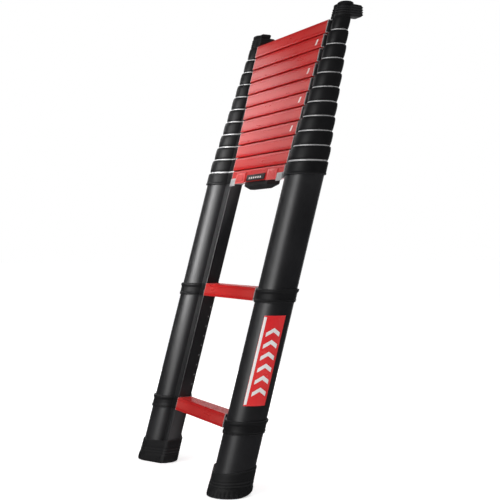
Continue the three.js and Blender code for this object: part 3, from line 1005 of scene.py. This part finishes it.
def curved_patch(low, high, from_angle, to_angle, lift, thickness):
    """A thin patch that follows the tube between two angles and two heights."""
    rows = []
    steps = int(abs(to_angle - from_angle) / 4)
    for height in (low, high):
        angles = [from_angle + (to_angle - from_angle) * step / steps for step in range(steps + 1)]
        outer = [on_tube(TUBE_RADIUS + lift + thickness, angle, height) for angle in angles]
        inner = [on_tube(TUBE_RADIUS + lift, angle, height) for angle in angles]
        rows.append(outer + inner[::-1])
    return Build().capped(rows)


def chevron(build, start):
    """A thin chevron on the panel that points up."""
    steps = 8
    face = TUBE_RADIUS + GAP + FILM
    rows = []
    for low in (start, start + CHEVRON_WIDTH):
        outer = []
        inner = []
        for step in range(steps + 1):
            across = step / steps
            angle = -30 + 40 * across
            height = low + CHEVRON_RISE * (1 - abs(2 * across - 1))
            outer.append(on_tube(face + CHEVRON_FACE, angle, height))
            inner.append(on_tube(face + CHEVRON_SEAT, angle, height))
        rows.append(outer + inner[::-1])
    build.capped(rows)


def label():
    low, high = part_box("label_panel")
    panel = curved_patch(low.z, high.z, -47, 18, GAP, FILM)
    place(panel.make("label_film", LABEL_RED, 40), "base", "label_red", "label_panel")
    # Painted highlight: a white strip on the film where the light's reflection falls.
    highlight_band = curved_patch(low.z + 0.003, high.z - 0.003, -46, -38, GAP + FILM, PRINT)
    place(highlight_band.make("label_painted_highlight", LABEL_WHITE, 40), "base", "label_red")
    arrows = Build()
    margin = 0.02
    step = (high.z - low.z - 2 * margin) / CHEVRONS
    for index in range(CHEVRONS):
        chevron(arrows, low.z + margin + index * step)
    place(arrows.make("label_arrows", LABEL_WHITE, 40), "base", "label_red")


def depth_scale():
    """Small grey ticks down the nose of the left base tube's rail, between the first two treads."""
    build = Build()
    flat = -nose_flat(0)
    x = (flat - 0.0002, flat + 0.0003)
    margin = 0.045
    step = (HEIGHTS[2] - HEIGHTS[1] - 2 * margin) / (TICKS - 1)
    for index in range(TICKS):
        height = HEIGHTS[1] + margin + index * step
        build.block(x, TICK_DEPTH, (height - TICK_HALF, height + TICK_HALF), 0.0001, 1)
    place(build.make("rail_ticks", TICK), "base", "label_red")


# Scene: floor, light and camera


def backdrop_material():
    shader = Shader("floor_pale", (0.86, 0.86, 0.86), 0.8)
    grain = shader.noise(60, detail=4)
    shader.colour(shader.mix(shader.ramp(grain, 0.3, 0.7, 0, 1), (0.85, 0.85, 0.85), (0.88, 0.88, 0.88)))
    shader.out.inputs["Emission Color"].default_value = (1, 1, 1, 1)
    shader.out.inputs["Emission Strength"].default_value = 0.6
    return shader.material


def floor():
    mesh = bpy.data.meshes.new("floor")
    half = 30
    corners = [(-half, -half, 0), (half, -half, 0), (half, half, 0), (-half, half, 0)]
    mesh.from_pydata(corners, [], [(0, 1, 2, 3)])
    mesh.materials.append(backdrop_material())
    made = bpy.data.objects.new("floor", mesh)
    bpy.context.scene.collection.objects.link(made)
    made.visible_glossy = False


def area_light(name, location, target, size, power, spread=180):
    lamp = bpy.data.lights.new(name, "AREA")
    lamp.shape = "RECTANGLE"
    lamp.size, lamp.size_y = size
    lamp.energy = power
    lamp.spread = math.radians(spread)
    made = bpy.data.objects.new(name, lamp)
    made.location = location
    made.rotation_euler = (Vector(target) - Vector(location)).to_track_quat("-Z", "Y").to_euler()
    bpy.context.scene.collection.objects.link(made)


def world():
    made = bpy.data.worlds.new("studio")
    made.use_nodes = True
    tree = made.node_tree
    background = tree.nodes["Background"]
    background.inputs["Color"].default_value = (0.07, 0.07, 0.074, 1)
    seen = tree.nodes.new("ShaderNodeBackground")
    seen.inputs["Color"].default_value = (1, 1, 1, 1)
    path = tree.nodes.new("ShaderNodeLightPath")
    mix = tree.nodes.new("ShaderNodeMixShader")
    tree.links.new(path.outputs["Is Camera Ray"], mix.inputs["Fac"])
    tree.links.new(background.outputs["Background"], mix.inputs[1])
    tree.links.new(seen.outputs["Background"], mix.inputs[2])
    tree.links.new(mix.outputs["Shader"], tree.nodes["World Output"].inputs["Surface"])
    bpy.context.scene.world = made
    bpy.context.scene.view_settings.view_transform = "Standard"


def overhead_light():
    lamp = bpy.data.lights.new("overhead", "SUN")
    lamp.energy = 1.5
    lamp.angle = math.radians(70)
    made = bpy.data.objects.new("overhead", lamp)
    made.rotation_euler = (math.radians(-12), math.radians(8), 0)
    made.visible_glossy = False
    bpy.context.scene.collection.objects.link(made)


def lights():
    middle = (0, 0, 0.6)
    overhead_light()
    area_light("key", (1.05, -2.95, 1.7), middle, (1.7, 1.7), power=36)
    area_light("side", (-1.35, -0.31, 1.32), (0, 0.05, 0.85), (0.12, 0.40), power=1.05)
    area_light("front", (-0.22, -0.80, 0.95), (-HALF_SPACING, 0, 0.62), (0.35, 0.70), power=0.75, spread=50)
    area_light("back", (-1.75, 0.95, 0.75), middle, (2.4, 1.8), power=15)


CAMERA_PLACE = (2.2885, -0.93514 - DEPTH_CENTRE, 0.535)
CAMERA_YAW = math.radians(64.53)
CAMERA_PITCH = math.radians(0.2457)
FOCAL_LENGTH = 76.16
SENSOR_WIDTH = 36


def camera():
    lens = bpy.data.cameras.new("view")
    lens.lens = FOCAL_LENGTH
    lens.sensor_width = SENSOR_WIDTH
    made = bpy.data.objects.new("view", lens)
    flat = math.cos(CAMERA_PITCH)
    look = Vector((-math.sin(CAMERA_YAW) * flat, math.cos(CAMERA_YAW) * flat, -math.sin(CAMERA_PITCH)))
    made.location = CAMERA_PLACE
    made.rotation_euler = look.to_track_quat("-Z", "Y").to_euler()
    bpy.context.scene.collection.objects.link(made)
    bpy.context.scene.camera = made


# Assembly

camera()
world()
lights()
floor()
for side_name in SIDES:
    base_tube(side_name)
    foot(side_name)
    for number in range(1, FIXED_RUNGS):
        collar(number, side_name, CLAMP, [f"clamp_collar_{number:02d}_{side_name}"])
    collar(FIXED_RUNGS, side_name, LATCH, [f"latch_collar_{side_name}"])
    for number in range(FIXED_RUNGS + 1, TOTAL_RUNGS + 1):
        moving_stile(number, side_name)
    wall_cap(side_name)
    release_slide(side_name)
    end_bracket(side_name)
    return_spring(side_name)
    pin = frame["nodes"][f"lock_pin_{side_name}"]
    pin.data.materials.clear()
    pin.data.materials.append(PIN)
for number in range(1, TOTAL_RUNGS + 1):
    rung(number)
for number in MARKED_RUNGS:
    slanted_mark(number)
latch_plate()
carry_grip()
label()
depth_scale()
